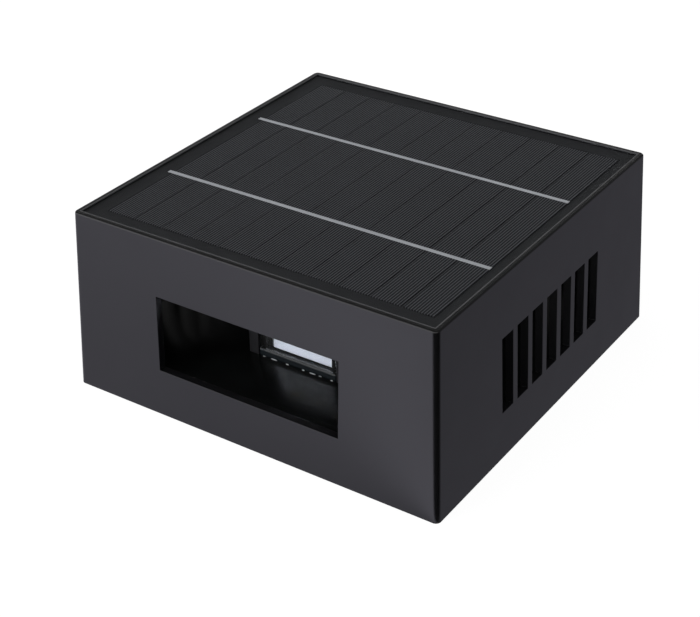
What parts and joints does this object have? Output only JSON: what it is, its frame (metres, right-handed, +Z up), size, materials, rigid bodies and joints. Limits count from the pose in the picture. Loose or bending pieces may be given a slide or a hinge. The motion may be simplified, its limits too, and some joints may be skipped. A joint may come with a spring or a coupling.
{
  "type": "fence light",
  "caption": "Low square solar fence light: drafted black housing with a solar panel in its top, an open light window in front, upright louvres in the sides and a lamp core inside.",
  "frame": {"origin": "middle of the foot, on the plane the light stands on", "axes": "+Z up through the solar panel, -Y out of the light window, +X to the right as one faces the window from outside"},
  "size_m": [0.1146, 0.1146, 0.0524],
  "materials": {
    "housing_plastic": "fine satin moulding",
    "tray_plastic": "polished black",
    "foam": "closed-cell foam",
    "panel_black": "black solder mask",
    "silicon": "cell strips with fine contact lines",
    "tinned_copper": "tinned",
    "clear_film": "clear laminate",
    "clear_plastic": "clear polished",
    "silicone": "matte silicone",
    "white_board": "white solder mask",
    "led_package": "phosphor-filled window in white frame",
    "green_board": "green solder mask",
    "component_black": "moulded",
    "screw_steel": "zinc plated",
    "switch_plastic": "moulded",
    "button_rubber": "matte",
    "battery_sleeve": "shrink sleeve",
    "nickel": "nickel plated",
    "wire_sleeve": "smooth insulation",
    "connector_white": "moulded"
  },
  "bodies": {
    "case": {"housing": "housing_plastic", "panel_tape": "foam", "panel_backing": "panel_black", "solar_cells": "silicon", "cell_ribbons": "tinned_copper", "panel_film": "clear_film", "floor_tray": "tray_plastic", "lamp_core": "tray_plastic", "roof_seal": "foam", "front_lens": "clear_plastic", "side_lenses": "clear_plastic", "lens_gaskets": "silicone", "front_led_board": "white_board", "side_led_boards": "white_board", "led_chips": "led_package", "board_pins": "tinned_copper", "circuit_board": "green_board", "board_parts": "component_black", "board_screws": "screw_steel", "switch_body": "component_black", "battery": "battery_sleeve", "battery_cradle": "component_black", "battery_contacts": "nickel", "panel_leads": "wire_sleeve", "lead_connector": "connector_white", "base_cover": "housing_plastic", "base_gasket": "silicone", "base_screws": "screw_steel"},
    "button": {"push_button": "button_rubber", "switch_plunger": "switch_plastic"}
  },
  "joints": [
    {"name": "button_press", "type": "slide", "parent": "case", "child": "button", "axis": [0, 0, 1], "range_m": [0, 0.0008], "stiffness_N_per_m": 1000, "springref_m": -0.0005}
  ]
}
